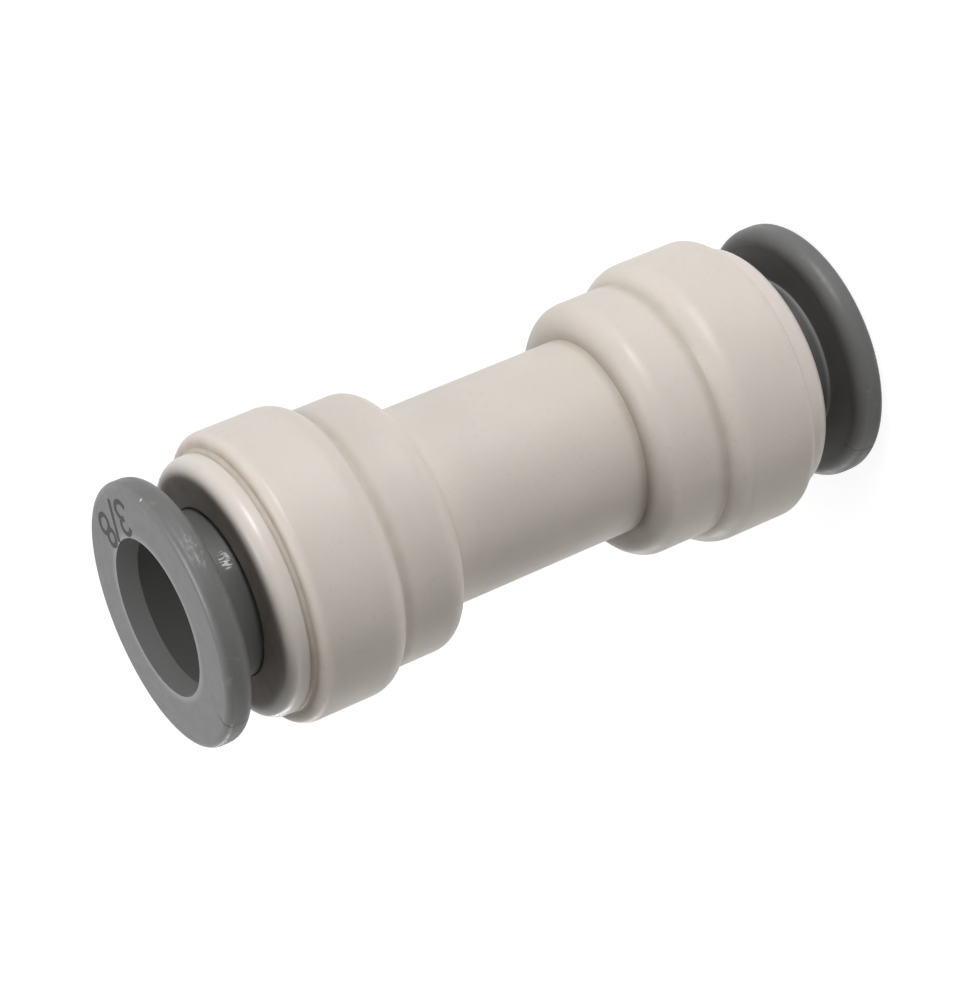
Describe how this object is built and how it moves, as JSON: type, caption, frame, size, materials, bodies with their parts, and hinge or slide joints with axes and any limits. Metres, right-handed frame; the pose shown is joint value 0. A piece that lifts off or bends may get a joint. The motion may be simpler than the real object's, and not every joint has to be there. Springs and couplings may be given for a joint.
{
  "type": "push-in tube union",
  "caption": "Straight push-in union that joins tubes end to end: a stepped moulded body with end caps and sliding release collets.",
  "frame": {"origin": "on the axis, at the middle of the body", "axes": "+Z along the axis, towards the upper end; the two ends are alike, and the union stands on the lower collet's face"},
  "size_m": [0.019, 0.019, 0.0482],
  "materials": {
    "body_plastic": "satin",
    "cap_plastic": "semi-gloss",
    "collet_plastic": "satin",
    "tooth_steel": "bright stamped",
    "seal_rubber": "matte",
    "spacer_plastic": "satin"
  },
  "bodies": {
    "fitting": {"body": "body_plastic", "upper_end_cap": "cap_plastic", "lower_end_cap": "cap_plastic", "upper_o_ring": "seal_rubber", "lower_o_ring": "seal_rubber", "upper_spacer_ring": "spacer_plastic", "lower_spacer_ring": "spacer_plastic"},
    "upper_release": {"upper_collet": "collet_plastic", "upper_collet_tooth_1": "tooth_steel", "upper_collet_tooth_2": "tooth_steel", "upper_collet_tooth_3": "tooth_steel", "upper_collet_tooth_4": "tooth_steel", "upper_collet_tooth_5": "tooth_steel", "upper_collet_tooth_6": "tooth_steel"},
    "lower_release": {"lower_collet": "collet_plastic", "lower_collet_tooth_1": "tooth_steel", "lower_collet_tooth_2": "tooth_steel", "lower_collet_tooth_3": "tooth_steel", "lower_collet_tooth_4": "tooth_steel", "lower_collet_tooth_5": "tooth_steel", "lower_collet_tooth_6": "tooth_steel"}
  },
  "joints": [
    {"name": "upper_collet_push", "type": "slide", "parent": "fitting", "child": "upper_release", "axis": [0, 0, -1], "range_m": [0, 0.002]},
    {"name": "lower_collet_push", "type": "slide", "parent": "fitting", "child": "lower_release", "axis": [0, 0, 1], "range_m": [0, 0.002]}
  ]
}
